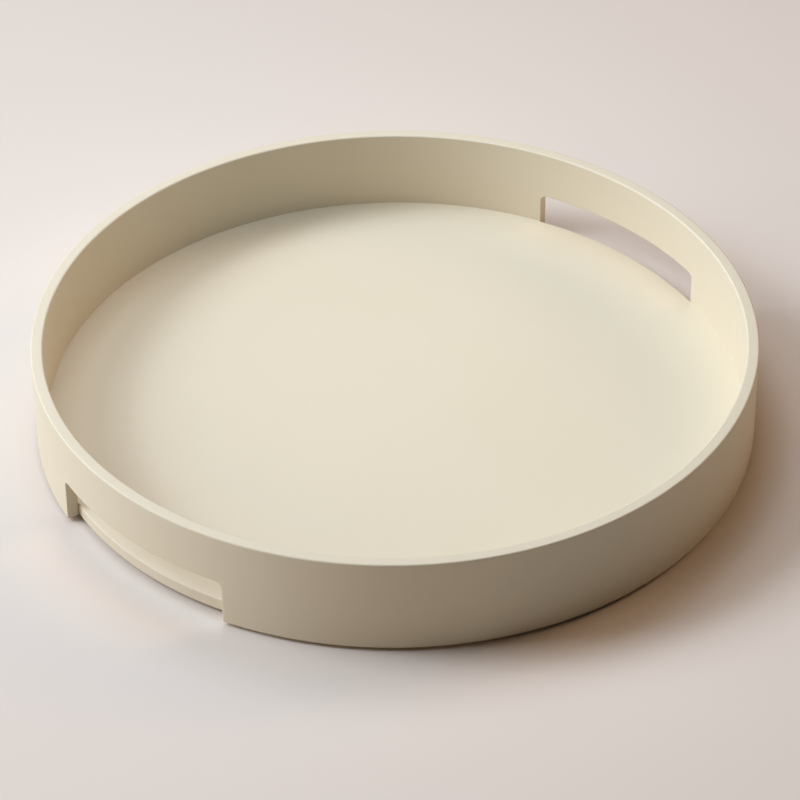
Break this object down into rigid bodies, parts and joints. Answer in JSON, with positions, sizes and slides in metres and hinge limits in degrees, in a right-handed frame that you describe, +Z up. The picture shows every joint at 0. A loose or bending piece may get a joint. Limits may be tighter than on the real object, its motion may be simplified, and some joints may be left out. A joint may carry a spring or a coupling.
{
  "type": "lazy susan turntable",
  "caption": "Round shallow tray with a thin upright wall and opposite handle slots, turning on a low ball-bearing base recessed under its floor.",
  "frame": {"origin": "centre of the footprint, on the surface that the rubber feet stand on", "axes": "+Z up along the swivel axis; the handle slots are centred on +X and -X; +Y is the third axis"},
  "size_m": [0.45, 0.45, 0.065],
  "materials": {
    "tray_lacquer": "satin cream lacquer over wood",
    "peg_wood": "bare hardwood",
    "zinc_steel": "zinc-plated pressed steel",
    "ball_steel": "polished bearing steel",
    "nylon": "natural moulded nylon",
    "base_plastic": "fine-textured charcoal moulding",
    "foot_rubber": "matte rubber"
  },
  "bodies": {
    "base": {"base_disc": "base_plastic", "base_screws": "zinc_steel", "lower_plate": "zinc_steel", "foot_1": "foot_rubber", "foot_2": "foot_rubber", "foot_3": "foot_rubber", "foot_4": "foot_rubber", "foot_5": "foot_rubber", "foot_6": "foot_rubber", "foot_7": "foot_rubber", "foot_8": "foot_rubber"},
    "ball_cage": {"ball_retainer": "nylon", "bearing_balls": "ball_steel"},
    "tray": {"tray_wall": "tray_lacquer", "tray_floor": "tray_lacquer", "floor_pegs": "peg_wood", "upper_plate": "zinc_steel", "upper_screws": "zinc_steel", "spacer_washer": "nylon", "pivot_rivet": "zinc_steel", "rivet_washer": "zinc_steel"}
  },
  "joints": [
    {"name": "tray_spin", "type": "hinge", "parent": "base", "child": "tray", "pos_m": [0, 0, 0.0066], "axis": [0, 0, 1], "continuous": true},
    {"name": "cage_spin", "type": "hinge", "parent": "base", "child": "ball_cage", "pos_m": [0, 0, 0.0066], "axis": [0, 0, 1], "continuous": true}
  ],
  "couplings": [
    {"joint": "cage_spin", "follows": "tray_spin", "ratio": 0.5}
  ]
}
